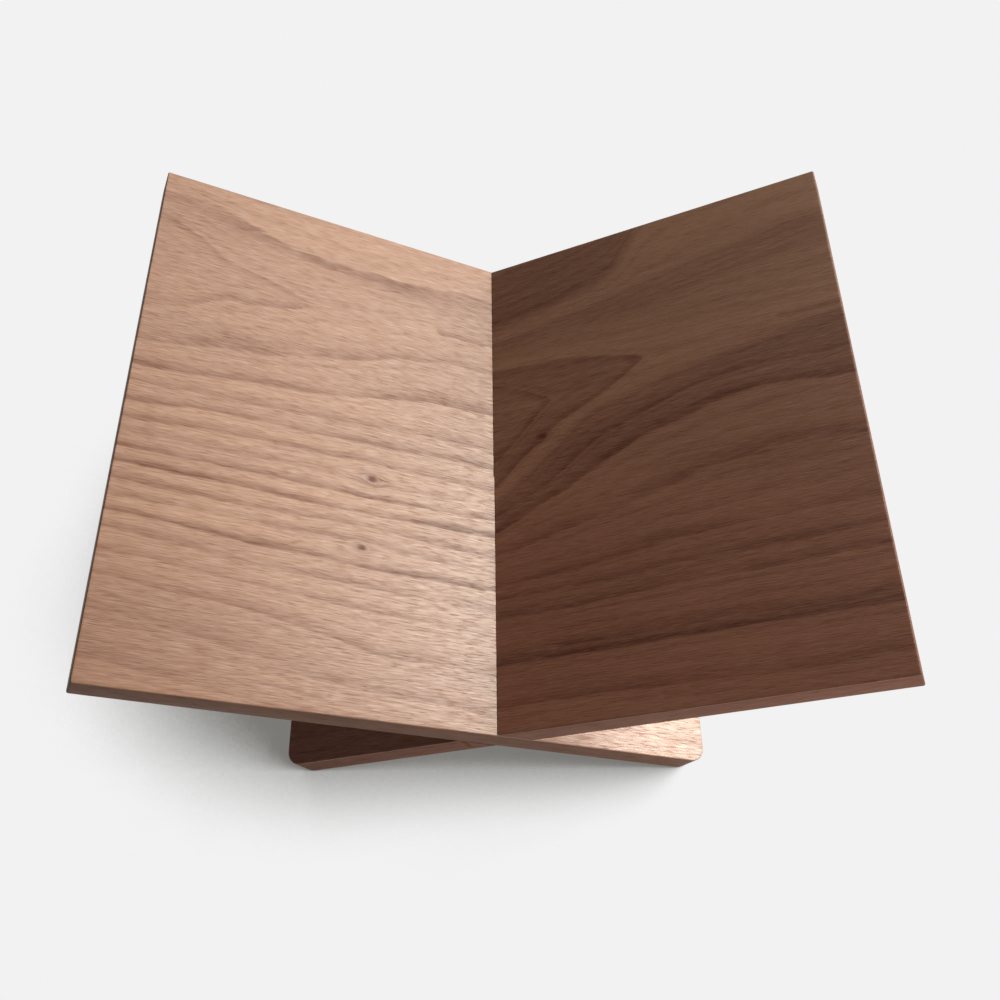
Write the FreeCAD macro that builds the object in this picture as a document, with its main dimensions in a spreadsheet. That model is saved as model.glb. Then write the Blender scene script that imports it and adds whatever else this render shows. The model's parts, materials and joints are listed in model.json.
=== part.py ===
"""Crossed book stand: two equal walnut boards that interlock in bevelled halving slots.

Millimetres, +Z up. The origin lies on the table under the middle of the crossing: +X points to the right
page and +Y to the back. Each board is drawn flat in its own frame, with the crossing line on local Y, local
+X running up to the page end and local +Z out of the face that carries the book.
"""
import FreeCAD, Part
import math
import os

import Sketcher

os.makedirs("parts", exist_ok=True)
doc = FreeCAD.newDocument("BookStand")

# Driving dimensions: lengths in millimetres, page_tilt in degrees above the table.
DRIVING_SIZES = [
    ("board_depth", 230.0),
    ("board_thickness", 12.0),
    ("page_length", 157.0),
    ("foot_length", 93.0),
    ("page_tilt", 25.0),
    ("slot_past_middle", 0.2),
    ("slot_corner_radius", 0.3),
    ("slot_clearance", 0.2),
    ("arris_radius", 0.4),
    ("page_face_corner_radius", 0.4),
    ("foot_corner_radius", 6.0),
    ("foot_flat", 3.0),
    ("cut_overrun", 4.0),
]
sheet = doc.addObject("Spreadsheet::Sheet", "Sizes")
for row, (alias, value) in enumerate(DRIVING_SIZES, start=1):
    sheet.set(f"A{row}", alias)
    sheet.set(f"B{row}", str(value))
    sheet.setAlias(f"B{row}", alias)
doc.recompute()

# The slot is as wide as the other board is thick, with the clearance on both sides.
SLOT_HALF_WIDTH = "Sizes.board_thickness / 2 + Sizes.slot_clearance"

# The other board crosses at twice the tilt, so the slot leans that much less than a right angle.
SLOT_LEAN = "2 * Sizes.page_tilt - 90"

# Outline radius at the page end: the flat face keeps its own small radius inside the eased arris.
PAGE_CORNER = "Sizes.page_face_corner_radius + Sizes.arris_radius"

# The lower corner of each foot is planed level with the table, foot_flat wide, at height zero.
CROSSING_HEIGHT = (
    "Sizes.foot_length * sin(Sizes.page_tilt) + Sizes.board_thickness / 2 * cos(Sizes.page_tilt)"
    " - Sizes.foot_flat * sin(Sizes.page_tilt) * cos(Sizes.page_tilt)"
)


def size(alias):
    """Value of one driving dimension."""
    return float(sheet.get(alias))


def sketch_on(body, role, name):
    """Empty sketch on the body's own origin plane of that role."""
    sketch = body.newObject("Sketcher::SketchObject", name)
    plane = next(feature for feature in body.Origin.OriginFeatures if feature.Role == role)
    sketch.AttachmentSupport = [(plane, "")]
    sketch.MapMode = "FlatFace"
    return sketch


def line(sketch, start, end):
    """Straight edge between two points of the sketch plane."""
    sketch.addGeometry(Part.LineSegment(FreeCAD.Vector(*start, 0), FreeCAD.Vector(*end, 0)))


def arc(sketch, centre, radius, start_degrees, end_degrees):
    """Round edge, drawn counter-clockwise."""
    circle = Part.Circle(FreeCAD.Vector(*centre, 0), FreeCAD.Vector(0, 0, 1), radius)
    sketch.addGeometry(Part.ArcOfCircle(circle, math.radians(start_degrees), math.radians(end_degrees)))


def constrain(sketch, kind, *references):
    """Geometric constraint with no size."""
    sketch.addConstraint(Sketcher.Constraint(kind, *references))


def dimension(sketch, name, kind, references, value, expression):
    """Named dimension that follows the sheet."""
    index = sketch.addConstraint(Sketcher.Constraint(kind, *references, value))
    sketch.renameConstraint(index, name)
    sketch.setExpression(f"Constraints.{name}", expression)


def draw_outline(body):
    """Board seen square on: nearly sharp corners at the page end, rounder ones at the foot."""
    half_depth = size("board_depth") / 2
    page, foot = size("page_length"), size("foot_length")
    page_round = size("page_face_corner_radius") + size("arris_radius")
    foot_round = size("foot_corner_radius")
    sketch = sketch_on(body, "XY_Plane", f"{body.Name}_outline")
    line(sketch, (foot_round - foot, -half_depth), (page - page_round, -half_depth))
    arc(sketch, (page - page_round, page_round - half_depth), page_round, -90, 0)
    line(sketch, (page, page_round - half_depth), (page, half_depth - page_round))
    arc(sketch, (page - page_round, half_depth - page_round), page_round, 0, 90)
    line(sketch, (page - page_round, half_depth), (foot_round - foot, half_depth))
    arc(sketch, (foot_round - foot, half_depth - foot_round), foot_round, 90, 180)
    line(sketch, (-foot, half_depth - foot_round), (-foot, foot_round - half_depth))
    arc(sketch, (foot_round - foot, foot_round - half_depth), foot_round, 180, 270)
    for edge in range(sketch.GeometryCount):
        constrain(sketch, "Tangent", edge, 2, (edge + 1) % sketch.GeometryCount, 1)
    for edge in (0, 4):
        constrain(sketch, "Horizontal", edge)
    for edge in (2, 6):
        constrain(sketch, "Vertical", edge)
    dimension(sketch, "front", "DistanceY", (0, 1, -1, 1), half_depth, "Sizes.board_depth / 2")
    dimension(sketch, "back", "DistanceY", (-1, 1, 4, 1), half_depth, "Sizes.board_depth / 2")
    dimension(sketch, "page", "DistanceX", (-1, 1, 2, 1), page, "Sizes.page_length")
    dimension(sketch, "foot", "DistanceX", (6, 1, -1, 1), foot, "Sizes.foot_length")
    for edge in (1, 3):
        dimension(sketch, f"page_round_{edge}", "Radius", (edge,), page_round, PAGE_CORNER)
    for edge in (5, 7):
        dimension(sketch, f"foot_round_{edge}", "Radius", (edge,), foot_round, "Sizes.foot_corner_radius")
    return sketch


def draw_slot(body):
    """Slot seen along the other board: open at local -Y, with a square end just past the middle."""
    half_width = size("board_thickness") / 2 + size("slot_clearance")
    corner, end = size("slot_corner_radius"), size("slot_past_middle")
    mouth = size("board_depth") / 2 + size("cut_overrun")
    sketch = sketch_on(body, "XY_Plane", f"{body.Name}_slot")
    lean = 2 * size("page_tilt") - 90
    sketch.AttachmentOffset = FreeCAD.Placement(
        FreeCAD.Vector(0, 0, 0), FreeCAD.Rotation(FreeCAD.Vector(0, 1, 0), lean)
    )
    sketch.setExpression("AttachmentOffset.Rotation.Angle", SLOT_LEAN)
    line(sketch, (half_width, -mouth), (half_width, end - corner))
    arc(sketch, (half_width - corner, end - corner), corner, 0, 90)
    line(sketch, (half_width - corner, end), (corner - half_width, end))
    arc(sketch, (corner - half_width, end - corner), corner, 90, 180)
    line(sketch, (-half_width, end - corner), (-half_width, -mouth))
    line(sketch, (-half_width, -mouth), (half_width, -mouth))
    for edge in range(4):
        constrain(sketch, "Tangent", edge, 2, edge + 1, 1)
    constrain(sketch, "Coincident", 4, 2, 5, 1)
    constrain(sketch, "Coincident", 5, 2, 0, 1)
    for edge in (0, 4):
        constrain(sketch, "Vertical", edge)
    for edge in (2, 5):
        constrain(sketch, "Horizontal", edge)
    dimension(sketch, "wall_1", "DistanceX", (-1, 1, 0, 1), half_width, SLOT_HALF_WIDTH)
    dimension(sketch, "wall_2", "DistanceX", (4, 1, -1, 1), half_width, SLOT_HALF_WIDTH)
    for edge in (1, 3):
        dimension(sketch, f"corner_{edge}", "Radius", (edge,), corner, "Sizes.slot_corner_radius")
    dimension(sketch, "mouth", "DistanceY", (0, 1, -1, 1), mouth, "Sizes.board_depth / 2 + Sizes.cut_overrun")
    dimension(sketch, "past_middle", "DistanceY", (-1, 1, 2, 1), end, "Sizes.slot_past_middle")
    return sketch


def draw_foot_flat(body):
    """Wedge below the table line at the foot's lower corner, seen from the front of the board."""
    tilt = math.radians(size("page_tilt"))
    foot, half_thickness = size("foot_length"), size("board_thickness") / 2
    overrun = size("cut_overrun")
    length = size("foot_flat") + 2 * overrun
    corner = (-foot - overrun * math.cos(tilt), -half_thickness - overrun * math.sin(tilt))
    along = (corner[0] + length * math.cos(tilt), corner[1])
    above = (corner[0], corner[1] + length * math.sin(tilt))
    sketch = sketch_on(body, "XZ_Plane", f"{body.Name}_foot_flat")
    line(sketch, corner, along)
    line(sketch, along, above)
    line(sketch, above, corner)
    for edge in range(sketch.GeometryCount):
        constrain(sketch, "Coincident", edge, 2, (edge + 1) % sketch.GeometryCount, 1)
    constrain(sketch, "Horizontal", 0)
    constrain(sketch, "Vertical", 2)
    dimension(
        sketch, "beyond_end", "DistanceX", (0, 1, -1, 1), -corner[0],
        "Sizes.foot_length + Sizes.cut_overrun * cos(Sizes.page_tilt)",
    )
    dimension(
        sketch, "below_face", "DistanceY", (0, 1, -1, 1), -corner[1],
        "Sizes.board_thickness / 2 + Sizes.cut_overrun * sin(Sizes.page_tilt)",
    )
    dimension(
        sketch, "along_face", "DistanceX", (0, 1, 0, 2), along[0] - corner[0],
        "(Sizes.foot_flat + 2 * Sizes.cut_overrun) * cos(Sizes.page_tilt)",
    )
    dimension(
        sketch, "up_end", "DistanceY", (2, 2, 2, 1), above[1] - corner[1],
        "(Sizes.foot_flat + 2 * Sizes.cut_overrun) * sin(Sizes.page_tilt)",
    )
    return sketch


def cut_through(body, sketch, name):
    """Cuts the sketch through the board, both ways from its plane."""
    before = body.Shape.Volume
    pocket = body.newObject("PartDesign::Pocket", name)
    pocket.Profile = sketch
    pocket.Type = "ThroughAll"
    pocket.SideType = "Symmetric"
    doc.recompute()
    if not body.Shape.Volume < before:
        raise RuntimeError(f"{name} removed nothing")


def ease_arrises(body, name):
    """Rounds every edge of the blank by the same small radius, as hand sanding does."""
    blank = body.Tip
    eased = body.newObject("PartDesign::Fillet", name)
    eased.Base = (blank, [])
    eased.UseAllEdges = True
    eased.setExpression("Radius", "Sizes.arris_radius")
    doc.recompute()


def make_board(name, half_turn):
    """One board of the pair, tilted about the crossing line and set at its height above the table."""
    body = doc.addObject("PartDesign::Body", name)
    body.Label = name
    blank = body.newObject("PartDesign::Pad", f"{name}_blank")
    blank.Profile = draw_outline(body)
    blank.SideType = "Symmetric"
    blank.setExpression("Length", "Sizes.board_thickness")
    doc.recompute()
    ease_arrises(body, f"{name}_eased_arrises")
    # Cut after the sanding, so that the slot keeps the sharp edges that meet the other board.
    cut_through(body, draw_slot(body), f"{name}_halving_slot")
    cut_through(body, draw_foot_flat(body), f"{name}_standing_flat")
    turn = FreeCAD.Rotation(half_turn, -size("page_tilt"), 0)
    body.Placement = FreeCAD.Placement(FreeCAD.Vector(0, 0, 0), turn)
    body.setExpression(
        "Placement",
        f"create(<<placement>>; create(<<vector>>; 0; 0; {CROSSING_HEIGHT});"
        f" create(<<rotation>>; {half_turn}; -Sizes.page_tilt; 0))",
    )
    return body


# The boards are one pattern: the left page's board is the right page's after half a turn about the vertical.
boards = [make_board("left_page_board", 180), make_board("right_page_board", 0)]
doc.recompute()

for item in doc.Objects:
    if {"Invalid", "Error"} & set(item.State):
        raise RuntimeError(f"{item.Label}: {item.State}")
for board in boards:
    if board.Shape.isNull() or not board.Shape.isValid():
        raise RuntimeError(f"{board.Label} has no valid solid")
for board in boards:
    board.Shape.exportStep(f"parts/{board.Label}.step")
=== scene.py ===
import json
import math
from typing import NamedTuple

import bmesh
import bpy
import numpy as np
from mathutils import Matrix, Vector

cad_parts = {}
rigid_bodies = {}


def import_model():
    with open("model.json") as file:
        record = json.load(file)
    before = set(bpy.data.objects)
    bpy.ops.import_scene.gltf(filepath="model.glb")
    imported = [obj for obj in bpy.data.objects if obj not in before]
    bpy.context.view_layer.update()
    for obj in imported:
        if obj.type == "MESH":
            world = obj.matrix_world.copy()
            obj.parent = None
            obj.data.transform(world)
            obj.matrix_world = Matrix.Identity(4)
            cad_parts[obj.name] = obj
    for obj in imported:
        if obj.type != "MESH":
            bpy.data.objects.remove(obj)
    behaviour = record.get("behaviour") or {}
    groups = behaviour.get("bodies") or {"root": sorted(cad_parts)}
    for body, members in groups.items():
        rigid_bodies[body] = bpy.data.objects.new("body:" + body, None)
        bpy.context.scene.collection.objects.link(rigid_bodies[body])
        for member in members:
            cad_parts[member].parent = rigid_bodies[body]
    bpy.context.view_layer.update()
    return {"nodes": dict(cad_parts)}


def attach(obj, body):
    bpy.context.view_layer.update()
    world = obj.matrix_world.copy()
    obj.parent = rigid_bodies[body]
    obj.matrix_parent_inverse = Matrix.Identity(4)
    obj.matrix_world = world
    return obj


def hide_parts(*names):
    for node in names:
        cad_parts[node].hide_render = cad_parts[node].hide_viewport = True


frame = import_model()

bl_info = {
    "name": "Walnut book stand",
    "version": (1, 0, 0),
    "blender": (4, 5, 0),
    "location": "3D View > Sidebar > Book stand",
    "description": "Two slotted walnut boards that cross to hold an open book",
    "category": "Object",
}

MM = 0.001
SAME_PLACE = 0.001 * MM  # points closer than this are one
CUT_SNAP = 0.0001 * MM  # a cut passes through points closer to it than this
SLIVER = 0.02 * MM  # edges shorter than this are closed up
FLAT_TURN = math.radians(0.5)  # faces that turn less than this are one flat
ARRIS_TURN = math.radians(12)  # faces that turn this much are fully an arris
SHARP_TURN = math.radians(40)  # faces that turn more than this meet in a sharp edge


class YearLine(NamedTuple):
    """The dark line that ends one year's growth, as it crosses a page."""

    path: tuple  # points on it: mm up the page from the crossing, and mm behind the board's middle
    line: float  # how dark the thin line is, up to 1
    beyond: float  # how dark the wood beyond it is, up to 1


class Figure(NamedTuple):
    """The growth rings of one board as its page cuts them, outwards from the heart of their arches."""

    heart: tuple  # path of the middle of the arches, in the same mm
    heart_tone: float  # how dark the wood there is, up to 1
    # Painted shade: the board's tone is darkened where its page lies in shade.
    painted_shade: tuple  # mm behind the middle, and how much darker than usual the board is there, up to 1
    ruddy: tuple  # mm behind the middle, and how ruddy the board is there, up to 1
    behind: tuple  # year lines behind the heart
    before: tuple  # year lines before the heart, towards the front edge
    knots: tuple  # mm up the page, mm behind the middle and radius in mm of each pin knot


LEFT_FIGURE = Figure(
    heart=((0, 72), (60, 68), (90, 63), (160, 66)),
    heart_tone=0.3,
    painted_shade=((0, 0.0),),
    ruddy=((0, 0.0),),
    behind=(
        YearLine(((60, 68), (89, 63), (100, 69.5), (125, 75), (155, 92)), 0.35, 0.35),
        YearLine(((0, 95.5), (50, 90.5), (100, 95), (150, 102)), 0.6, 0.2),
        YearLine(((0, 125), (150, 130)), 0.3, 0.3),
    ),
    before=(
        YearLine(((60, 68), (89, 63), (100, 58.8), (125, 55.8), (150, 41.8)), 0.5, 0.25),
        YearLine(
            ((0, 53.5), (30, 53), (50, 48.5), (75, 39), (100, 33.5), (125, 31.5), (150, 26.8)), 0.5, 0.25),
        YearLine(((0, 30), (30, 29.8), (50, 26.5), (75, 21), (100, 17.8), (150, 14.2)), 0.7, 0.15),
        YearLine(((0, 12), (50, 11), (100, 8.2), (150, 6)), 0.5, 0.2),
        YearLine(((0, 2.3), (50, 1), (100, 1.2), (125, 0), (150, -3)), 0.7, 0.1),
        YearLine(((0, -7.8), (50, -7.8), (100, -8), (150, -10.5)), 0.7, 0.15),
        YearLine(((0, -14.5), (50, -17.2), (100, -16.2), (150, -16.8)), 0.4, 0.15),
        YearLine(((0, -21.8), (50, -23.2), (150, -23)), 0.8, 0.1),
        YearLine(((0, -30.2), (50, -31), (150, -30)), 0.9, 0.1),
        YearLine(((0, -40.2), (50, -38), (150, -37)), 0.7, 0.15),
        YearLine(((0, -47), (50, -44.4), (150, -43.4)), 0.5, 0.1),
        YearLine(((0, -54.5), (100, -53.8), (150, -50)), 0.8, 0.15),
        YearLine(((0, -64.5), (50, -62.8), (100, -61.5), (150, -57.5)), 0.45, 0.15),
        YearLine(((0, -74), (50, -73.2), (100, -69.8), (150, -66.5)), 0.45, 0.25),
        YearLine(((0, -92), (50, -90), (75, -84), (100, -80.2), (150, -75)), 0.5, 0.4),
        YearLine(((0, -107), (50, -104.2), (75, -101), (100, -95.2), (150, -88)), 0.35, 0.45),
        YearLine(((0, -125), (100, -112), (150, -105.8)), 0.3, 0.3),
    ),
    knots=((58, -14.8, 1.5), (60.5, -46.3, 1.3)),
)
RIGHT_FIGURE = Figure(
    heart=((0, 27), (31, 32), (74, 42), (160, 45)),
    heart_tone=0.35,
    # Painted shade on the right page, which faces away from the window.
    painted_shade=((-110, 0.14), (-60, 0.2), (-20, 0.36), (50, 0.28), (110, 0.2)),
    ruddy=((-110, 1.0), (-50, 0.8), (0, 0.4), (60, 0.0)),
    behind=(
        YearLine(((0, 49), (6, 46), (20, 39), (31, 32), (74, 42)), 0.4, 0.45),
        YearLine(((0, 55.5), (30, 52.5), (50, 49), (74, 42)), 0.4, 0.0),
        YearLine(((0, 62), (30, 62), (50, 60), (75, 57.5), (100, 57), (150, 52.2)), 0.3, 0.2),
        YearLine(((0, 66), (50, 68), (75, 70), (100, 75.2), (150, 80)), 0.3, 0.5),
        YearLine(((0, 71), (50, 77), (100, 86), (150, 92)), 0.1, 0.1),
        YearLine(((0, 78), (30, 82), (60, 90), (70, 100), (76, 116), (100, 135)), 0.1, 0.75),
    ),
    before=(
        YearLine(((0, 2), (6, 7), (18, 20), (31, 32), (74, 42)), 0.4, 0.45),
        YearLine(((0, -9), (8, -3), (30, 16), (50, 26), (65, 34), (74, 42)), 0.4, 0.0),
        YearLine(((0, -16), (30, 6), (44, 20), (84, 29.5), (154, 39.5)), 0.1, 0.6),
        YearLine(((0, -22), (30, -8.8), (50, 6), (75, 15.8), (100, 21.8), (125, 23), (150, 20.8)), 0.4, 0.6),
        YearLine(
            ((0, -30), (30, -15.2), (50, -6.2), (75, 5), (100, 11.2), (125, 12.8), (150, 9.8)), 0.5, 0.25),
        YearLine(
            ((0, -39), (30, -35), (50, -31), (75, -23.5), (100, -18.5), (125, -15.5), (150, -18)), 0.4, 0.35),
        YearLine(((0, -53.2), (50, -50.2), (100, -46.8), (150, -45.2)), 0.4, 0.4),
        YearLine(((0, -59), (150, -57.6)), 0.35, 0.45),
        YearLine(((0, -66.2), (150, -66)), 0.4, 0.45),
        YearLine(((0, -83.4), (150, -84)), 0.4, 0.85),
        YearLine(((0, -87), (150, -87.5)), 0.4, 0.4),
        YearLine(((0, -103.6), (150, -105.8)), 0.4, 0.4),
        YearLine(((0, -125), (150, -125)), 0.3, 0.4),
    ),
    knots=((26, 14.2, 1.4),),
)
PITH_HEIGHT = 40  # mm from the pages up to the middle of the tree
LAST_YEAR = 20  # mm that the growth past the last year line takes
YEAR_BREADTH = (3, 40)  # least and most mm that a year's growth is taken as
YEAR_TURN = 0.12  # share of a year over which the wood's tone turns, on each side of a line
HEART_LINE = 0.5  # how dark a line at the heart would be
LINE_LEAD = 2.6  # mm over which a line darkens before it ends its year
LINE_LEAD_SHARE = 0.25  # share of the year's breadth that is added to that
LINE_CORE = 0.2  # mm before its end from which a line is darkest
LINE_TAIL = 1.2  # mm over which a line pales into the next year
DRY_SPELLS = 3.0  # dry spells in a year
PAGE_REACH = (-120, 180)  # mm up the page that the paths cover, from the crossing
PATH_ROUNDING = 11  # mm on each side over which a path's corners are rounded
KNOT_STRETCH = 1.6  # how much longer than broad a knot is
KNOT_HEART = 0.4  # knot radii within which a knot is darkest
KNOT_CORE = 1.5  # knot radii within which the fibres are the knot's own
KNOT_STAIN = 4.0  # knot radii within which the wood is stained
KNOT_REACH = 20  # knot radii past which no knot tells
END_FACING = (0.125, 0.75)  # how squarely a face cuts the fibres, from side grain to end grain
WHITE = (1, 1, 1, 1)
FIRST_COLOUR, SECOND_COLOUR, MIXED_COLOUR = 6, 7, 2  # numbers of a Mix node's colour sockets
SHADOW_SHARES = (0.41, 0.64)  # shares of the room open to the floor, where its shadow is deepest and gone


def linear(hex_colour):
    """An sRGB hex colour as the linear RGB that a shader reads."""
    shares = [int(hex_colour[place:place + 2], 16) / 255 for place in (1, 3, 5)]
    return [share / 12.92 if share <= 0.04045 else ((share + 0.055) / 1.055) ** 2.4 for share in shares]


def add_node(tree, kind, inputs=None, **settings):
    """Adds one node, with its settings, and sets or links its inputs by name or number."""
    node = tree.nodes.new(kind)
    for name, value in settings.items():
        setattr(node, name, value)
    for key, value in (inputs or {}).items():
        if isinstance(value, bpy.types.NodeSocket):
            tree.links.new(value, node.inputs[key])
        else:
            node.inputs[key].default_value = value
    return node


class BoardSettings(bpy.types.PropertyGroup):
    """How the boards were worked by hand."""

    cell: bpy.props.FloatProperty(
        name="Surface cell", description="Spacing of the mesh over the faces",
        default=1.5 * MM, unit="LENGTH")
    unevenness: bpy.props.FloatProperty(
        name="Unevenness", description="How deep hand sanding left the faces uneven",
        default=0.06 * MM, unit="LENGTH")
    swell: bpy.props.FloatProperty(
        name="Swell", description="Length of the sanding's shallow waves",
        default=28 * MM, unit="LENGTH")
    arris_wear: bpy.props.FloatProperty(
        name="Arris wear", description="How far handling has rounded the edges further",
        default=0.12 * MM, unit="LENGTH")
    wear_patch: bpy.props.FloatProperty(
        name="Wear patch", description="Length of a worn stretch of edge",
        default=9 * MM, unit="LENGTH")
    seed: bpy.props.FloatProperty(
        name="Seed", description="Which sanding and wear the boards get", default=3.0)


class WalnutSettings(bpy.types.PropertyGroup):
    """Colours and grain of the oiled walnut."""

    pale: bpy.props.FloatVectorProperty(
        name="Early wood", description="Pale wood at the start of a year's growth",
        subtype="COLOR", default=linear("#bd8c6d"))
    ruddy: bpy.props.FloatVectorProperty(
        name="Ruddy early wood", description="Pale wood where the board is ruddier",
        subtype="COLOR", default=linear("#cc8a6b"))
    dark: bpy.props.FloatVectorProperty(
        name="Late wood", description="Dark wood at the end of a year's growth",
        subtype="COLOR", default=linear("#6f3c28"))
    pore: bpy.props.FloatVectorProperty(
        name="Pores", description="Oil-darkened open pores", subtype="COLOR", default=linear("#55301f"))
    knot: bpy.props.FloatVectorProperty(
        name="Knots", description="Heart of the pin knots", subtype="COLOR", default=linear("#6b3524"))
    end_grain: bpy.props.FloatVectorProperty(
        name="End grain", description="Cut ends of the fibres, soaked with oil",
        subtype="COLOR", default=linear("#5a3523"))
    pore_width: bpy.props.FloatProperty(
        name="Pore width", description="Width of a drawn pore", default=0.6 * MM, unit="LENGTH")
    pore_length: bpy.props.FloatProperty(
        name="Pore length", description="Length of a pore cut by the face", default=6 * MM, unit="LENGTH")
    grain_depth: bpy.props.FloatProperty(
        name="Grain depth", description="Depth of the open grain", default=0.12 * MM, unit="LENGTH")
    roughness: bpy.props.FloatProperty(
        name="Roughness", description="Gloss of the rubbed oil",
        default=0.4, min=0.0, max=1.0, subtype="FACTOR")


class StageSettings(bpy.types.PropertyGroup):
    """Floor, light and camera."""

    floor: bpy.props.FloatVectorProperty(
        name="Floor", description="Pale paper floor", subtype="COLOR", default=linear("#f2f2f2"))
    floor_width: bpy.props.FloatProperty(
        name="Floor width", description="Side of the square floor", default=8.0, unit="LENGTH")
    floor_bounce: bpy.props.FloatProperty(
        name="Floor bounce", description="Share of the light that the floor throws back at the stand",
        default=0.4, min=0.0, max=1.0, subtype="FACTOR")
    window_power: bpy.props.FloatProperty(
        name="Window", description="Power of the window light at the right", default=7.1, unit="POWER")
    window_colour: bpy.props.FloatVectorProperty(
        name="Window colour", description="Colour of the window light",
        subtype="COLOR", default=linear("#fffaef"))
    window_width: bpy.props.FloatProperty(
        name="Window width", description="Side of the square window", default=0.46, unit="LENGTH")
    window_distance: bpy.props.FloatProperty(
        name="Window distance", description="From the stand to the window", default=0.8, unit="LENGTH")
    window_elevation: bpy.props.FloatProperty(
        name="Window elevation", description="Height of the window over the floor",
        default=math.radians(26.5), subtype="ANGLE")
    window_bearing: bpy.props.FloatProperty(
        name="Window bearing", description="Turn of the window from the right towards the back",
        default=math.radians(17), subtype="ANGLE")
    wall_power: bpy.props.FloatProperty(
        name="Wall", description="Power of the light off the bright wall behind", default=5.6, unit="POWER")
    wall_colour: bpy.props.FloatVectorProperty(
        name="Wall colour", description="Colour of the light off the bright wall",
        subtype="COLOR", default=linear("#fffcf2"))
    wall_width: bpy.props.FloatProperty(
        name="Wall width", description="Side of the square of bright wall", default=0.95, unit="LENGTH")
    wall_distance: bpy.props.FloatProperty(
        name="Wall distance", description="From the stand to the bright wall", default=1.1, unit="LENGTH")
    wall_elevation: bpy.props.FloatProperty(
        name="Wall elevation", description="Height of the bright wall over the floor",
        default=math.radians(37), subtype="ANGLE")
    wall_bearing: bpy.props.FloatProperty(
        name="Wall bearing", description="Turn of the bright wall from the right towards the back",
        default=math.radians(52), subtype="ANGLE")
    glow_power: bpy.props.FloatProperty(
        name="Front glow", description="Power of the light off the pale table at the front right",
        default=0.45, unit="POWER")
    glow_width: bpy.props.FloatProperty(
        name="Front glow width", description="Side of the square of bright table",
        default=0.2, unit="LENGTH")
    glow_place: bpy.props.FloatVectorProperty(
        name="Front glow place", description="Where the light off the table comes from",
        subtype="TRANSLATION", unit="LENGTH", default=(0.3, -0.3, 0.1))
    room_light: bpy.props.FloatProperty(
        name="Room light", description="Strength of the even light of the room", default=0.055)
    # The floor's shadow is painted into its colour by ambient occlusion, and these settings shape it.
    shadow: bpy.props.FloatVectorProperty(
        name="Shadow", description="What the deepest shadow leaves of the floor's colour",
        subtype="COLOR", default=(0.22, 0.215, 0.2))
    shadow_reach: bpy.props.FloatProperty(
        name="Shadow reach", description="How far off the boards still shade the floor",
        default=0.32, unit="LENGTH")
    floor_light: bpy.props.FloatVectorProperty(
        name="Floor light", description="Way to the middle of the soft light on the floor",
        subtype="DIRECTION", default=(0.98, 0.45, 1.0))
    camera_place: bpy.props.FloatVectorProperty(
        name="Camera place", description="Where the photograph was taken from",
        subtype="TRANSLATION", unit="LENGTH", default=(-0.0039, -0.2298, 0.4441))
    camera_turn: bpy.props.FloatVectorProperty(
        name="Camera turn", description="How the camera was held", subtype="EULER",
        default=(math.radians(28.94), math.radians(-0.53), math.radians(-0.70)))
    camera_lens: bpy.props.FloatProperty(
        name="Lens", description="Focal length on a 36 mm wide sensor, in mm", default=37.74)


class Board(NamedTuple):
    """Where one board lies: its crossing, its directions and its thickness, read from its CAD node."""

    crossing: Vector
    along: Vector
    across: Vector
    out: Vector
    thickness: float

    def to_board(self):
        """Turns the shared frame into the board's own directions, from the crossing."""
        turn = Matrix((self.along, self.across, self.out)).to_4x4()
        return turn @ Matrix.Translation(-self.crossing)


def read_board(node):
    """Reads a board's place from its page, the largest face of its CAD node that looks up."""
    mesh = frame["nodes"][node].data
    page = max((face for face in mesh.polygons if face.normal.z > 0), key=lambda face: face.area)
    out = page.normal.copy()
    along = (Vector((0, 0, 1)) - out * out.z).normalized()
    heights = [out.dot(vertex.co) for vertex in mesh.vertices]
    thickness = max(heights) - min(heights)
    middle = (max(heights) + min(heights)) / 2
    crossing = Vector((0, 0, middle / out.z))
    return Board(crossing, along, out.cross(along), out, thickness)


def cut_in_cells(blank, faces, axis, places):
    """Cuts the faces at each place along an axis, the middle place first, so that a cut meets few faces."""
    if not places:
        return
    middle = len(places) // 2
    normal = Vector([float(number == axis) for number in range(3)])
    geometry = dict.fromkeys(faces)
    for face in faces:
        geometry.update(dict.fromkeys(face.edges))
        geometry.update(dict.fromkeys(face.verts))
    cut = bmesh.ops.bisect_plane(
        blank, geom=list(geometry), plane_co=normal * places[middle], plane_no=normal, dist=CUT_SNAP)
    pieces = [part for part in cut["geom"] if isinstance(part, bmesh.types.BMFace)]
    lower = [face for face in pieces if face.calc_center_median()[axis] < places[middle]]
    upper = [face for face in pieces if face.calc_center_median()[axis] > places[middle]]
    cut_in_cells(blank, lower, axis, places[:middle])
    cut_in_cells(blank, upper, axis, places[middle + 1:])


def sawn_board(node, board, cell, name):
    """The CAD board's own shape, merged and cut in even cells, so that its surface can be worked."""
    blank = bmesh.new()
    blank.from_mesh(frame["nodes"][node].data)
    bmesh.ops.remove_doubles(blank, verts=blank.verts, dist=SAME_PLACE)
    bmesh.ops.transform(blank, matrix=board.to_board(), verts=blank.verts)
    bmesh.ops.dissolve_limit(
        blank, angle_limit=FLAT_TURN, verts=blank.verts, edges=blank.edges, delimit=set())
    for axis in (0, 1):
        ends = [vertex.co[axis] for vertex in blank.verts]
        places = list(np.arange(min(ends) + cell, max(ends) - cell / 2, cell))
        cut_in_cells(blank, blank.faces[:], axis, places)
    bmesh.ops.dissolve_degenerate(blank, dist=SLIVER, edges=blank.edges)
    bmesh.ops.triangulate(blank, faces=[face for face in blank.faces if len(face.verts) > 4])
    bmesh.ops.transform(blank, matrix=board.to_board().inverted(), verts=blank.verts)
    mesh = bpy.data.meshes.new(name)
    blank.to_mesh(mesh)
    blank.free()
    mesh.shade_smooth()
    return mesh


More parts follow.
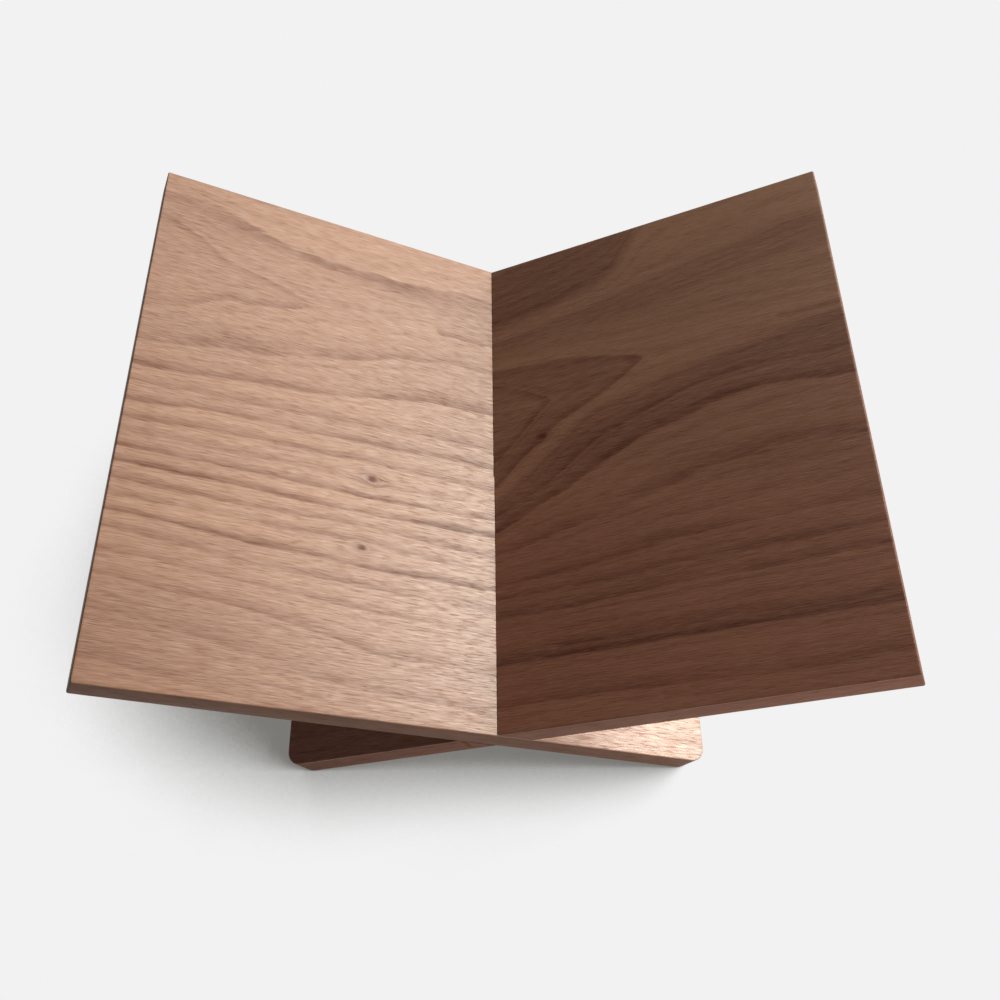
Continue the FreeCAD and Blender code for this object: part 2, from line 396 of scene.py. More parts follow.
def hand_finish():
    """Geometry nodes that sand a board: faces a little uneven, arrises worn in patches, all cut inwards."""
    tree = bpy.data.node_groups.new("hand_finish", "GeometryNodeTree")
    for name, kind in (
        ("Board", "NodeSocketGeometry"), ("Unevenness", "NodeSocketFloat"), ("Swell", "NodeSocketFloat"),
        ("Arris wear", "NodeSocketFloat"), ("Wear patch", "NodeSocketFloat"), ("Seed", "NodeSocketFloat"),
        ("Finish", "NodeSocketMaterial"),
    ):
        tree.interface.new_socket(name, in_out="INPUT", socket_type=kind)
    tree.interface.new_socket("Board", in_out="OUTPUT", socket_type="NodeSocketGeometry")
    given = add_node(tree, "NodeGroupInput").outputs
    place = add_node(tree, "GeometryNodeInputPosition").outputs["Position"]
    # Blurred, so that the sharp corners of the slot are cut inwards too.
    facing = add_node(tree, "GeometryNodeInputNormal").outputs["Normal"]
    spread = add_node(tree, "GeometryNodeBlurAttribute", {
        "Value": facing, "Iterations": 2}, data_type="FLOAT_VECTOR").outputs["Value"]
    normal = add_node(tree, "ShaderNodeVectorMath", {0: spread}, operation="NORMALIZE").outputs["Vector"]

    waves_per_metre = add_node(tree, "ShaderNodeMath", {
        0: 1.0, 1: given["Swell"]}, operation="DIVIDE").outputs[0]
    waves = add_node(tree, "ShaderNodeTexNoise", {
        "Vector": place, "W": given["Seed"], "Scale": waves_per_metre, "Detail": 1.0},
        noise_dimensions="4D")
    hollow = add_node(tree, "ShaderNodeMath", {
        0: waves.outputs["Fac"], 1: given["Unevenness"]}, operation="MULTIPLY").outputs[0]

    # An arris is where neighbouring faces turn, and blurring that turn spreads it over the wood beside it.
    turn = add_node(tree, "GeometryNodeInputMeshEdgeAngle").outputs["Unsigned Angle"]
    arris = add_node(tree, "ShaderNodeMapRange", {
        "Value": turn, "From Max": ARRIS_TURN}).outputs["Result"]
    soft_arris = add_node(tree, "GeometryNodeBlurAttribute", {
        "Value": arris, "Iterations": 3}).outputs["Value"]
    patches_per_metre = add_node(tree, "ShaderNodeMath", {
        0: 1.0, 1: given["Wear patch"]}, operation="DIVIDE").outputs[0]
    patches = add_node(tree, "ShaderNodeTexNoise", {
        "Vector": place, "W": given["Seed"], "Scale": patches_per_metre, "Detail": 2.0},
        noise_dimensions="4D")
    patch = add_node(tree, "ShaderNodeMapRange", {
        "Value": patches.outputs["Fac"], "From Min": 0.3, "From Max": 0.75}).outputs["Result"]
    wear = add_node(tree, "ShaderNodeMath", {0: soft_arris, 1: patch}, operation="MULTIPLY").outputs[0]
    rounded = add_node(tree, "ShaderNodeMath", {
        0: wear, 1: given["Arris wear"]}, operation="MULTIPLY").outputs[0]

    depth = add_node(tree, "ShaderNodeMath", {0: hollow, 1: rounded}, operation="ADD").outputs[0]
    inwards = add_node(tree, "ShaderNodeMath", {0: depth, 1: -1.0}, operation="MULTIPLY").outputs[0]
    offset = add_node(tree, "ShaderNodeVectorMath", {
        0: normal, "Scale": inwards}, operation="SCALE").outputs["Vector"]
    marked = add_node(tree, "GeometryNodeStoreNamedAttribute", {
        "Geometry": given["Board"], "Name": "wear", "Value": wear}, data_type="FLOAT", domain="POINT")
    worked = add_node(tree, "GeometryNodeSetPosition", {
        "Geometry": marked.outputs["Geometry"], "Offset": offset})
    whole = add_node(tree, "GeometryNodeRealizeInstances", {"Geometry": worked.outputs["Geometry"]})
    oiled = add_node(tree, "GeometryNodeSetMaterial", {
        "Geometry": whole.outputs["Geometry"], "Material": given["Finish"]})
    add_node(tree, "NodeGroupOutput", {"Board": oiled.outputs["Geometry"]})
    return tree


def part_round_knots(figure, along, across):
    """Where the fibres would lie without the knots that they part round, and how far the nearest knot is."""
    nearest = np.full_like(along, KNOT_REACH)
    for knot_along, knot_across, radius in figure.knots:
        forward = (along - knot_along) / KNOT_STRETCH
        aside = across - knot_across
        reach = np.hypot(forward, aside)
        core = KNOT_CORE * radius
        nearest = np.minimum(nearest, reach / radius)
        across = across - aside * np.minimum((core / np.maximum(reach, core)) ** 2, 1)
    return across, nearest


def follow(path, along):
    """Heights of a path of points, its corners rounded, at each place up the page."""
    low, high = PAGE_REACH
    grid = np.arange(low, high + 1.0)
    heights = np.interp(grid, *zip(*path))
    rounding = np.hanning(2 * PATH_ROUNDING + 1)
    padded = np.pad(heights, PATH_ROUNDING, mode="edge")
    rounded = np.convolve(padded, rounding / rounding.sum(), mode="valid")
    return np.interp(along, grid, rounded)


def grow_from_heart(year_lines, heart_tone, heart, side, along, offset):
    """On one side of the heart: the year, how dark its line and its wood are, and how broad it is."""
    lines = [np.maximum((follow(year_line.path, along) - heart) * side, 0) for year_line in year_lines]
    lines = np.maximum.accumulate(np.stack([np.zeros_like(offset)] + lines), axis=0)
    passed = np.sum(lines[1:] < offset, axis=0)
    lines = np.vstack([lines, lines[-1:] + LAST_YEAR])
    points = np.arange(len(offset))
    inner, outer = lines[passed, points], lines[passed + 1, points]
    year = passed + (offset - inner) / np.maximum(outer - inner, 1e-3)
    years = np.arange(len(year_lines) + 1)
    dark_line = np.interp(year, years, [HEART_LINE] + [year_line.line for year_line in year_lines])
    tones = np.repeat([heart_tone] + [year_line.beyond for year_line in year_lines], 2)
    turns = np.stack([years + YEAR_TURN, years + 1 - YEAR_TURN], axis=1).ravel()
    tone = np.interp(year, turns, tones)
    breadth = np.clip(outer - inner, *YEAR_BREADTH)
    return np.stack([year, dark_line, tone, breadth], axis=1)


def growth_rings(figure, along, across, depth):
    """What grow_from_heart gives, at each point, with the rings bent round the middle of the tree."""
    heart = follow(figure.heart, along)
    offset = np.sqrt((across - heart) ** 2 + 2 * PITH_HEIGHT * depth.clip(0) + depth.clip(0) ** 2)
    behind = grow_from_heart(figure.behind, figure.heart_tone, heart, 1, along, offset)
    before = grow_from_heart(figure.before, figure.heart_tone, heart, -1, along, offset)
    return np.where((across > heart)[:, None], behind, before)


def store(mesh, name, domain, values):
    """Keeps a number or a vector for each point or face of the mesh."""
    kind, key = ("FLOAT_VECTOR", "vector") if values.ndim == 2 else ("FLOAT", "value")
    attribute = mesh.attributes.new(name, kind, domain)
    attribute.data.foreach_set(key, np.ascontiguousarray(values, np.float32).ravel())


def lay_grain(mesh, board, figure):
    """Gives the mesh its grain: fibre directions in mm, the year of growth and the knots, at each point."""
    places = np.empty(len(mesh.vertices) * 3, np.float32)
    mesh.vertices.foreach_get("co", places)
    places = (places.reshape(-1, 3) - np.array(board.crossing)) / MM
    along = places @ np.array(board.along)
    # Both boards' grain is read from the front to the back, whichever way round the board was turned.
    across = places[:, 1]
    depth = board.thickness / MM / 2 - places @ np.array(board.out)
    parted, to_knot = part_round_knots(figure, along, across)
    growth = growth_rings(figure, along, parted, depth)
    # Painted shade: the board is painted darker where its page lies in shade.
    growth[:, 2] += np.interp(parted, *zip(*figure.painted_shade))
    store(mesh, "fibre", "POINT", np.stack([along, parted, depth], axis=1))
    store(mesh, "growth", "POINT", growth[:, :3])
    store(mesh, "breadth", "POINT", growth[:, 3])
    store(mesh, "to_knot", "POINT", to_knot)
    store(mesh, "ruddy", "POINT", np.interp(parted, *zip(*figure.ruddy)))
    # Kept by face, so that sawn wood starts sharply at an edge.
    normals = np.empty(len(mesh.polygons) * 3, np.float32)
    mesh.polygons.foreach_get("normal", normals)
    normals = normals.reshape(-1, 3)
    store(mesh, "edge", "FACE", 1 - np.abs(normals @ np.array(board.out)))
    store(mesh, "end", "FACE", np.interp(np.abs(normals @ np.array(board.along)), END_FACING, (0, 1)))


def grain_noises(tree, fibre, settings):
    """Noises that follow the fibres and swing about 0, sized in mm along the board and across it."""
    noises = {}
    # Single fibres are too fine to show, so silk draws bundles of them.
    for name, along, across, detail in (
        ("wander", 60, 16, 1.0), ("ragged", 14, 1.2, 2.0), ("fade", 40, 10, 1.0), ("tone", 120, 24, 1.0),
        ("streak", 50, 2.2, 2.0), ("silk", 8, 0.5, 2.0), ("flecks", 6, 0.6, 1.0),
        ("pores", settings.pore_length / MM, settings.pore_width / MM, 1.0),
    ):
        spot = add_node(tree, "ShaderNodeVectorMath", {
            0: fibre, 1: (1 / along, 1 / across, 1 / across)}, operation="MULTIPLY").outputs["Vector"]
        field = add_node(tree, "ShaderNodeTexNoise", {
            "Vector": spot, "W": float(len(noises)), "Scale": 1.0, "Detail": detail}, noise_dimensions="4D")
        noises[name] = add_node(tree, "ShaderNodeMath", {
            0: field.outputs["Fac"], 1: 0.5}, operation="SUBTRACT").outputs[0]
    return noises


def draw_year_lines(tree, smooth_year, dark_line, breadth, noise):
    """How far through its year the wood is, and how dark the lines are that end a year or a dry spell."""
    wandering = add_node(tree, "ShaderNodeMath", {
        0: noise["wander"], 1: 0.5, 2: smooth_year}, operation="MULTIPLY_ADD").outputs[0]
    year = add_node(tree, "ShaderNodeMath", {
        0: noise["ragged"], 1: 0.22, 2: wandering}, operation="MULTIPLY_ADD").outputs[0]
    season = add_node(tree, "ShaderNodeMath", {0: year}, operation="FRACT").outputs[0]

    # Wood darkens slowly through the season, ends in a thin dark line, and starts pale again.
    slow = add_node(tree, "ShaderNodeMath", {0: season, 1: 2.0}, operation="POWER").outputs[0]
    time_left = add_node(tree, "ShaderNodeMath", {0: 1.0, 1: season}, operation="SUBTRACT").outputs[0]
    to_line = add_node(tree, "ShaderNodeMath", {0: time_left, 1: breadth}, operation="MULTIPLY").outputs[0]
    spread = add_node(tree, "ShaderNodeMath", {
        0: breadth, 1: LINE_LEAD_SHARE, 2: LINE_LEAD}, operation="MULTIPLY_ADD").outputs[0]
    soft_side = add_node(tree, "ShaderNodeMapRange", {
        "Value": to_line, "From Min": spread, "From Max": LINE_CORE},
        interpolation_type="SMOOTHSTEP").outputs["Result"]
    past_line = add_node(tree, "ShaderNodeMath", {0: season, 1: breadth}, operation="MULTIPLY").outputs[0]
    sharp_side = add_node(tree, "ShaderNodeMapRange", {
        "Value": past_line, "From Min": LINE_TAIL, "From Max": 0.0},
        interpolation_type="SMOOTHSTEP").outputs["Result"]
    line = add_node(tree, "ShaderNodeMath", {0: soft_side, 1: sharp_side}, operation="MAXIMUM").outputs[0]
    fade = add_node(tree, "ShaderNodeMapRange", {
        "Value": noise["fade"], "From Min": -0.2, "From Max": 0.12, "To Min": 0.25}).outputs["Result"]
    line_shown = add_node(tree, "ShaderNodeMath", {0: line, 1: fade}, operation="MULTIPLY").outputs[0]
    late = add_node(tree, "ShaderNodeMath", {
        0: slow, 1: 0.35, 2: line_shown}, operation="MULTIPLY_ADD").outputs[0]
    late_wood = add_node(tree, "ShaderNodeMath", {0: late, 1: dark_line}, operation="MULTIPLY").outputs[0]

    # Thinner lines within a year come from dry spells.
    spells = add_node(tree, "ShaderNodeMath", {
        0: year, 1: DRY_SPELLS, 2: 0.2}, operation="MULTIPLY_ADD").outputs[0]
    spell = add_node(tree, "ShaderNodeMath", {0: spells}, operation="FRACT").outputs[0]
    spell_line = add_node(tree, "ShaderNodeMapRange", {
        "Value": spell, "From Min": 0.5, "From Max": 0.95, "To Max": 0.2},
        interpolation_type="SMOOTHSTEP").outputs["Result"]
    lines = add_node(tree, "ShaderNodeMath", {
        0: late_wood, 1: spell_line}, operation="MAXIMUM").outputs[0]
    return season, lines


def find_knots(tree, to_knot):
    """How much of the wood is the knot's own, and how much is stained round it."""
    knot = add_node(tree, "ShaderNodeMapRange", {
        "Value": to_knot, "From Min": KNOT_CORE, "From Max": KNOT_HEART, "To Max": 0.85},
        interpolation_type="SMOOTHSTEP").outputs["Result"]
    halo = add_node(tree, "ShaderNodeMapRange", {
        "Value": to_knot, "From Min": KNOT_STAIN, "From Max": 1.0, "To Max": 0.3}).outputs["Result"]
    return knot, halo


def rub_and_highlight_arrises(tree, edge, end, wear):
    """How pale the arrises are painted: a painted highlight on the faces that turn from the page to a sawn
    edge, and a little wear where hands have rubbed the wood.
    """
    from_edge = add_node(tree, "ShaderNodeMath", {0: 1.0, 1: edge}, operation="SUBTRACT").outputs[0]
    # Painted highlight: arrises are painted pale half way round their turn, where the rounding catches the
    # light.
    arris = add_node(tree, "ShaderNodeMath", {0: edge, 1: from_edge}, operation="MULTIPLY").outputs[0]
    handled = add_node(tree, "ShaderNodeMath", {0: wear, 1: 0.2}, operation="MULTIPLY").outputs[0]
    rubbing_and_highlight = add_node(tree, "ShaderNodeMath", {
        0: arris, 1: 2.4, 2: handled}, operation="MULTIPLY_ADD").outputs[0]
    # Cut fibres hold their dark oil, so the arrises of an end get neither the painted highlight nor the
    # rubbing, and stay dark.
    return add_node(tree, "ShaderNodeMath", {
        0: rubbing_and_highlight, 1: end}, operation="SUBTRACT", use_clamp=True).outputs[0]


def colour_wood(tree, settings, read, noise, tone, season, lines, pores, knot, halo):
    """The colour of the wood, from its growth up to its pores, knots, edges and wear."""
    base = add_node(tree, "ShaderNodeMath", {
        0: noise["tone"], 1: 0.4, 2: 0.05}, operation="MULTIPLY_ADD").outputs[0]
    banded = add_node(tree, "ShaderNodeMath", {
        0: tone, 1: 0.6, 2: base}, operation="MULTIPLY_ADD").outputs[0]
    lined = add_node(tree, "ShaderNodeMath", {
        0: lines, 1: 0.62, 2: banded}, operation="MULTIPLY_ADD").outputs[0]
    streaked = add_node(tree, "ShaderNodeMath", {
        0: noise["streak"], 1: 0.45, 2: lined}, operation="MULTIPLY_ADD").outputs[0]
    darkness = add_node(tree, "ShaderNodeMath", {
        0: noise["silk"], 1: 0.42, 2: streaked}, operation="MULTIPLY_ADD", use_clamp=True).outputs[0]
    early = add_node(tree, "ShaderNodeMapRange", {
        "Value": season, "To Min": 0.22, "To Max": 0.12}).outputs["Result"]
    pore_share = add_node(tree, "ShaderNodeMath", {0: pores, 1: early}, operation="MULTIPLY").outputs[0]
    flecks = add_node(tree, "ShaderNodeMapRange", {
        "Value": noise["flecks"], "From Min": 0.03, "From Max": 0.2, "To Max": 0.28}).outputs["Result"]
    sawn = add_node(tree, "ShaderNodeMath", {0: read["edge"], 1: 0.55}, operation="MULTIPLY").outputs[0]
    # worn is a painted highlight along the arrises, with a little real wear where hands rubbed them.
    worn = rub_and_highlight_arrises(tree, read["edge"], read["end"], read["wear"])
    soaked = add_node(tree, "ShaderNodeMath", {0: read["end"], 1: 0.6}, operation="MULTIPLY").outputs[0]

    pale, ruddy, dark, pore, knot_colour, end_grain = (
        (*colour, 1) for colour in (
            settings.pale, settings.ruddy, settings.dark, settings.pore, settings.knot, settings.end_grain))
    early_wood = add_node(tree, "ShaderNodeMix", {
        "Factor": read["ruddy"], FIRST_COLOUR: pale, SECOND_COLOUR: ruddy},
        data_type="RGBA").outputs[MIXED_COLOUR]
    colour = early_wood
    for share, over in (
        (darkness, dark), (pore_share, pore), (flecks, early_wood), (halo, knot_colour), (knot, knot_colour),
        (sawn, pore), (worn, pale), (soaked, end_grain),
    ):
        colour = add_node(tree, "ShaderNodeMix", {
            "Factor": share, FIRST_COLOUR: colour, SECOND_COLOUR: over},
            data_type="RGBA").outputs[MIXED_COLOUR]
    return colour


def spread_oil(tree, read, noise, lines, pores, knot):
    """How strongly the oiled wood mirrors the room, and how much oil stands on it as a film."""
    # Sawn edges, knots and open pores drink the oil, so that little of it stands on them as a film.
    dry_end = add_node(tree, "ShaderNodeMath", {
        0: read["edge"], 1: read["end"]}, operation="MAXIMUM").outputs[0]
    thirsty_wood = add_node(tree, "ShaderNodeMath", {0: dry_end, 1: knot}, operation="MAXIMUM").outputs[0]
    open_pores = add_node(tree, "ShaderNodeMath", {0: pores, 1: 0.25}, operation="MULTIPLY").outputs[0]
    dense_lines = add_node(tree, "ShaderNodeMath", {
        0: lines, 1: 0.5, 2: open_pores}, operation="MULTIPLY_ADD").outputs[0]
    thirst = add_node(tree, "ShaderNodeMath", {
        0: thirsty_wood, 1: dense_lines}, operation="MAXIMUM").outputs[0]
    # The sanded fibres shine in fine streaks, some bright and some dull.
    sheen = add_node(tree, "ShaderNodeMapRange", {
        "Value": noise["silk"], "From Min": 0.25, "From Max": -0.25,
        "To Min": 0.2, "To Max": 1.8}).outputs["Result"]
    oil_left = add_node(tree, "ShaderNodeMapRange", {
        "Value": thirst, "To Min": 1.5, "To Max": 0.08}).outputs["Result"]
    mirror = add_node(tree, "ShaderNodeMath", {0: oil_left, 1: sheen}, operation="MULTIPLY").outputs[0]
    film = add_node(tree, "ShaderNodeMapRange", {
        "Value": thirst, "To Min": 0.36, "To Max": 0.0}).outputs["Result"]
    return mirror, film


def oiled_walnut(settings):
    """Black walnut, planed, sanded and rubbed with oil."""
    # To the eye it is satin, with dark year lines, short open pores and silky fibres.
    finish = bpy.data.materials.new("oiled_walnut_sanded")
    finish.use_nodes = True
    tree = finish.node_tree
    tree.nodes.clear()
    read = {}
    for name, output in (
        ("fibre", "Vector"), ("growth", "Vector"), ("breadth", "Fac"), ("to_knot", "Fac"), ("edge", "Fac"),
        ("end", "Fac"), ("wear", "Fac"), ("ruddy", "Fac"),
    ):
        read[name] = add_node(tree, "ShaderNodeAttribute", attribute_name=name).outputs[output]
    noise = grain_noises(tree, read["fibre"], settings)
    growth = add_node(tree, "ShaderNodeSeparateXYZ", {"Vector": read["growth"]}).outputs
    smooth_year, dark_line, tone = growth["X"], growth["Y"], growth["Z"]
    season, lines = draw_year_lines(tree, smooth_year, dark_line, read["breadth"], noise)
    # Pores are about 0.15 mm wide, too fine to show, so they are drawn pore_width wide.
    pores = add_node(tree, "ShaderNodeMapRange", {
        "Value": noise["pores"], "From Min": 0.05, "From Max": 0.18}).outputs["Result"]
    knot, halo = find_knots(tree, read["to_knot"])
    colour = colour_wood(tree, settings, read, noise, tone, season, lines, pores, knot, halo)
    mirror, film = spread_oil(tree, read, noise, lines, pores, knot)

    dull_pores = add_node(tree, "ShaderNodeMath", {
        0: pores, 1: 0.12, 2: settings.roughness}, operation="MULTIPLY_ADD").outputs[0]
    roughness = add_node(tree, "ShaderNodeMath", {
        0: read["edge"], 1: 0.1, 2: dull_pores}, operation="MULTIPLY_ADD").outputs[0]
    # Some of the shine comes from the fibres under the film and takes their colour.
    fibre_shine = add_node(tree, "ShaderNodeMix", {
        "Factor": 0.25, FIRST_COLOUR: WHITE, SECOND_COLOUR: colour},
        data_type="RGBA").outputs[MIXED_COLOUR]
    relief = add_node(tree, "ShaderNodeMath", {
        0: pores, 1: -0.4, 2: noise["silk"]}, operation="MULTIPLY_ADD").outputs[0]
    bump = add_node(tree, "ShaderNodeBump", {
        "Height": relief, "Strength": 0.6, "Distance": settings.grain_depth}).outputs["Normal"]
    surface = add_node(tree, "ShaderNodeBsdfPrincipled", {
        "Base Color": colour, "Roughness": roughness, "IOR": 1.5, "Normal": bump,
        "Specular IOR Level": mirror, "Specular Tint": fibre_shine,
        "Coat Weight": film, "Coat Roughness": 0.42}).outputs["BSDF"]
    add_node(tree, "ShaderNodeOutputMaterial", {"Surface": surface})
    return finish


def sand_board(context, mesh, name):
    """The sawn mesh, sanded and oiled by the hand_finish nodes, as a plain mesh."""
    settings = context.scene.book_stand_board
    finish = bpy.data.materials.get("oiled_walnut_sanded") or oiled_walnut(context.scene.book_stand_walnut)
    blank = bpy.data.objects.new(mesh.name, mesh)
    context.scene.collection.objects.link(blank)
    sanding = blank.modifiers.new("hand_finish", "NODES")
    sanding.node_group = bpy.data.node_groups.get("hand_finish") or hand_finish()
    given = {
        "Unevenness": settings.unevenness, "Swell": settings.swell, "Arris wear": settings.arris_wear,
        "Wear patch": settings.wear_patch, "Seed": settings.seed, "Finish": finish,
    }
    for socket in sanding.node_group.interface.items_tree:
        if socket.name in given:
            sanding[socket.identifier] = given[socket.name]
    context.view_layer.update()
    worked = bpy.data.meshes.new_from_object(blank.evaluated_get(context.evaluated_depsgraph_get()))
    bpy.data.objects.remove(blank)
    worked.name = name
    worked.set_sharp_from_angle(angle=SHARP_TURN)
    return worked


def make_board(context, node, body, figure, name):
    """Makes one finished board from its CAD node and sets it on its body."""
    board = read_board(node)
    sawn = sawn_board(node, board, context.scene.book_stand_board.cell, name + "_sawn")
    mesh = sand_board(context, sawn, name)
    lay_grain(mesh, board, figure)
    piece = bpy.data.objects.new(name, mesh)
    collection = bpy.data.collections.get("book_stand") or bpy.data.collections.new("book_stand")
    if collection.name not in context.scene.collection.children:
        context.scene.collection.children.link(collection)
    collection.objects.link(piece)
    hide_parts(node)
    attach(piece, body)


class BOOKSTAND_OT_left_board(bpy.types.Operator):
    """Makes the left page board, slotted from the back"""

    bl_idname = "book_stand.left_board"
    bl_label = "Left page board"

    def execute(self, context):
        make_board(context, "left_page_board", "left_board", LEFT_FIGURE, "walnut_left_board")
        return {"FINISHED"}


class BOOKSTAND_OT_right_board(bpy.types.Operator):
    """Makes the right page board, slotted from the front"""

    bl_idname = "book_stand.right_board"
    bl_label = "Right page board"

    def execute(self, context):
        make_board(context, "right_page_board", "right_board", RIGHT_FIGURE, "walnut_right_board")
        return {"FINISHED"}


def paper_floor(settings):
    """Matt paper."""
    # To the eye it is even and pale, with the boards' shadow painted in. To scattered light it is darker, so
    # that it throws little back up.
    finish = bpy.data.materials.new("matt_paper_floor")
    finish.use_nodes = True
    tree = finish.node_tree
    tree.nodes.clear()
    path = add_node(tree, "ShaderNodeLightPath").outputs
    seen = add_node(tree, "ShaderNodeMath", {
        0: path["Is Camera Ray"], 1: path["Is Glossy Ray"]}, operation="MAXIMUM").outputs[0]
    shown = add_node(tree, "ShaderNodeMath", {
        0: seen, 1: path["Is Transmission Ray"]}, operation="MAXIMUM").outputs[0]
    # Painted shadow: ambient occlusion, leaned to the right and the back where the room's soft light comes
    # from, darkens the floor where the boards keep a share of that light away.
    facing = add_node(tree, "ShaderNodeVectorMath", {
        0: settings.floor_light}, operation="NORMALIZE").outputs["Vector"]
    open_share = add_node(tree, "ShaderNodeAmbientOcclusion", {
        "Distance": settings.shadow_reach, "Normal": facing}, samples=32).outputs["AO"]
    deepest, gone = SHADOW_SHARES
    lit = add_node(tree, "ShaderNodeMapRange", {
        "Value": open_share, "From Min": deepest, "From Max": gone}).outputs["Result"]
    shadow = add_node(tree, "ShaderNodeMix", {
        "Factor": lit, FIRST_COLOUR: (*settings.shadow, 1), SECOND_COLOUR: WHITE},
        data_type="RGBA").outputs[MIXED_COLOUR]
    paper = add_node(tree, "ShaderNodeMix", {
        "Factor": 1.0, FIRST_COLOUR: (*settings.floor, 1), SECOND_COLOUR: shadow},
        data_type="RGBA", blend_type="MULTIPLY").outputs[MIXED_COLOUR]
    dim_paper = add_node(tree, "ShaderNodeMix", {
        "Factor": 1.0, FIRST_COLOUR: (*[settings.floor_bounce] * 3, 1), SECOND_COLOUR: shadow},
        data_type="RGBA", blend_type="MULTIPLY").outputs[MIXED_COLOUR]
    scattering = add_node(tree, "ShaderNodeBsdfDiffuse", {"Color": dim_paper}).outputs["BSDF"]
    backdrop = add_node(tree, "ShaderNodeEmission", {"Color": paper, "Strength": 1.0}).outputs["Emission"]
    surface = add_node(tree, "ShaderNodeMixShader", {
        0: shown, 1: scattering, 2: backdrop}).outputs["Shader"]
    add_node(tree, "ShaderNodeOutputMaterial", {"Surface": surface})
    return finish


def light_room(settings):
    """The world: even room light on the stand, and the floor's own pale colour to the eye."""
    world = bpy.data.worlds.new("pale_room")
    bpy.context.scene.world = world
    world.use_nodes = True
    tree = world.node_tree
    tree.nodes.clear()
    path = add_node(tree, "ShaderNodeLightPath").outputs
    seen = add_node(tree, "ShaderNodeMath", {
        0: path["Is Camera Ray"], 1: path["Is Transmission Ray"]}, operation="MAXIMUM").outputs[0]
    room = add_node(tree, "ShaderNodeBackground", {
        "Color": WHITE, "Strength": settings.room_light}).outputs["Background"]
    backdrop = add_node(tree, "ShaderNodeBackground", {
        "Color": (*settings.floor, 1), "Strength": 1.0}).outputs["Background"]
    shown = add_node(tree, "ShaderNodeMixShader", {0: seen, 1: room, 2: backdrop}).outputs["Shader"]
    add_node(tree, "ShaderNodeOutputWorld", {"Surface": shown})


def direction(elevation, bearing):
    """The way to a light, from its height over the floor and its turn from the right towards the back."""
    level = math.cos(elevation)
    return Vector((level * math.cos(bearing), level * math.sin(bearing), math.sin(elevation)))


def add_light(data, way, distance, lights_only):
    """Hangs a light that way from the stand, facing it, and lets it light only that collection."""
    light = bpy.data.objects.new(data.name, data)
    bpy.context.scene.collection.objects.link(light)
    light.location = way * distance
    light.rotation_mode = "QUATERNION"
    light.rotation_quaternion = way.to_track_quat("Z", "Y")
    light.light_linking.receiver_collection = lights_only


def light_stand(settings, stand):
    """The lights on the boards: the window, the bright wall behind and the table's glow at the front."""
    window = bpy.data.lights.new("window", "AREA")
    window.energy = settings.window_power
    window.size = settings.window_width
    window.color = settings.window_colour
    to_window = direction(settings.window_elevation, settings.window_bearing)
    add_light(window, to_window, settings.window_distance, stand)

    wall = bpy.data.lights.new("bright_wall", "AREA")
    wall.energy = settings.wall_power
    wall.size = settings.wall_width
    wall.color = settings.wall_colour
    to_wall = direction(settings.wall_elevation, settings.wall_bearing)
    add_light(wall, to_wall, settings.wall_distance, stand)

    glow = bpy.data.lights.new("front_glow", "AREA")
    glow.energy = settings.glow_power
    glow.size = settings.glow_width
    to_glow = Vector(settings.glow_place)
    add_light(glow, to_glow.normalized(), to_glow.length, stand)


def lay_floor(settings, ground):
    """The floor, and the light on it."""
    half = settings.floor_width / 2
    corners = [(-half, -half, 0), (half, -half, 0), (half, half, 0), (-half, half, 0)]
    mesh = bpy.data.meshes.new("floor")
    mesh.from_pydata(corners, [], [(0, 1, 2, 3)])
    mesh.materials.append(paper_floor(settings))
    floor = bpy.data.objects.new("floor", mesh)
    ground.objects.link(floor)

    # The floor's own shading holds the shadow, so this light casts none.
    overhead = bpy.data.lights.new("overhead", "SUN")
    overhead.use_shadow = False
    overhead.energy = math.pi * (1 - settings.room_light)
    add_light(overhead, Vector((0, 0, 1)), 1.0, ground)


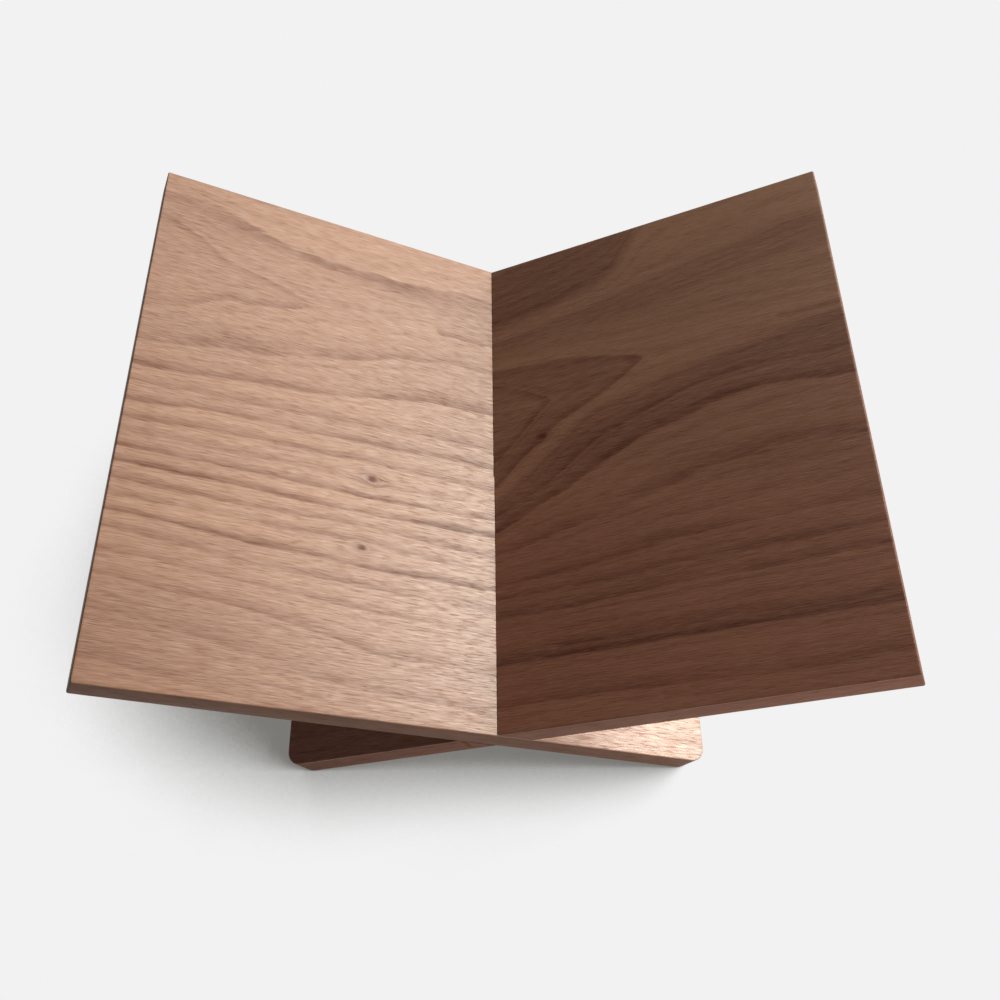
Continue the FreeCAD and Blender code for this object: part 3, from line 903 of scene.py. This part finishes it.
class BOOKSTAND_OT_stage(bpy.types.Operator):
    """Sets the pale floor, the light and the camera"""

    bl_idname = "book_stand.stage"
    bl_label = "Floor, light and camera"

    def execute(self, context):
        settings = context.scene.book_stand_stage
        context.scene.view_settings.view_transform = "Standard"
        ground = bpy.data.collections.new("ground")
        context.scene.collection.children.link(ground)
        lay_floor(settings, ground)
        light_room(settings)
        light_stand(settings, bpy.data.collections["book_stand"])

        camera = bpy.data.objects.new("camera", bpy.data.cameras.new("camera"))
        context.scene.collection.objects.link(camera)
        camera.location = settings.camera_place
        camera.rotation_euler = settings.camera_turn
        camera.data.lens = settings.camera_lens
        context.scene.camera = camera
        return {"FINISHED"}


class BOOKSTAND_PT_panel(bpy.types.Panel):
    """Lists the stand's settings and the steps that make it"""

    bl_idname = "BOOKSTAND_PT_panel"
    bl_label = "Book stand"
    bl_space_type = "VIEW_3D"
    bl_region_type = "UI"
    bl_category = "Book stand"

    def draw(self, context):
        scene = context.scene
        for group in (scene.book_stand_board, scene.book_stand_walnut, scene.book_stand_stage):
            box = self.layout.box()
            for name in group.__annotations__:
                box.prop(group, name)
        for operator in (BOOKSTAND_OT_left_board, BOOKSTAND_OT_right_board, BOOKSTAND_OT_stage):
            self.layout.operator(operator.bl_idname)


CLASSES = (
    BoardSettings, WalnutSettings, StageSettings,
    BOOKSTAND_OT_left_board, BOOKSTAND_OT_right_board, BOOKSTAND_OT_stage, BOOKSTAND_PT_panel,
)


def register():
    for cls in CLASSES:
        bpy.utils.register_class(cls)
    bpy.types.Scene.book_stand_board = bpy.props.PointerProperty(type=BoardSettings)
    bpy.types.Scene.book_stand_walnut = bpy.props.PointerProperty(type=WalnutSettings)
    bpy.types.Scene.book_stand_stage = bpy.props.PointerProperty(type=StageSettings)


def unregister():
    del bpy.types.Scene.book_stand_stage
    del bpy.types.Scene.book_stand_walnut
    del bpy.types.Scene.book_stand_board
    for cls in reversed(CLASSES):
        bpy.utils.unregister_class(cls)


def main():
    register()
    bpy.ops.book_stand.left_board()
    bpy.ops.book_stand.right_board()
    bpy.ops.book_stand.stage()


if __name__ == "__main__":
    main()
